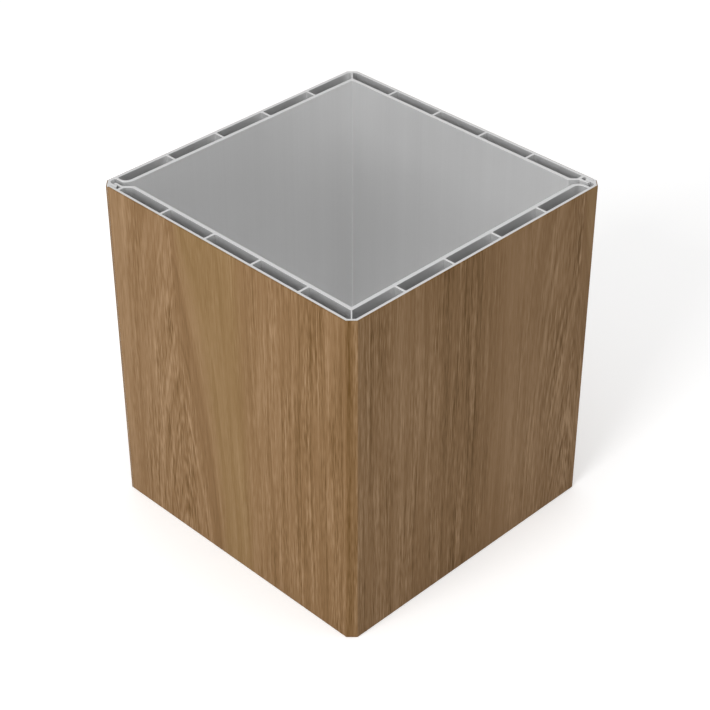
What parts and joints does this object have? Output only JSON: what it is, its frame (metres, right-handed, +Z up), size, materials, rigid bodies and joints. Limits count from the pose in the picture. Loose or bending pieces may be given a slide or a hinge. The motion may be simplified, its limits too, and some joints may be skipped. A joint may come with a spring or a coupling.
{
  "type": "porch column wrap",
  "caption": "Square box cover for a porch post: L-shaped hollow halves that snap together, wood-grain coated outside and bare inside.",
  "frame": {"origin": "middle of the lower cut end, on the plane that the wrap stands on", "axes": "+Z up along the extrusion; -Y and +X are the faces of the front half; the snap joints are on the vertical corners at -X -Y and +X +Y"},
  "size_m": [0.2794, 0.2794, 0.3048],
  "materials": {
    "wood_grain_coated_aluminium": "wood-grain powder coat on the outer faces and corner chamfers; mill finish on the inner faces, in the chambers and on the cut ends"
  },
  "bodies": {
    "root": {"front_half": "wood_grain_coated_aluminium", "back_half": "wood_grain_coated_aluminium"}
  },
  "joints": []
}
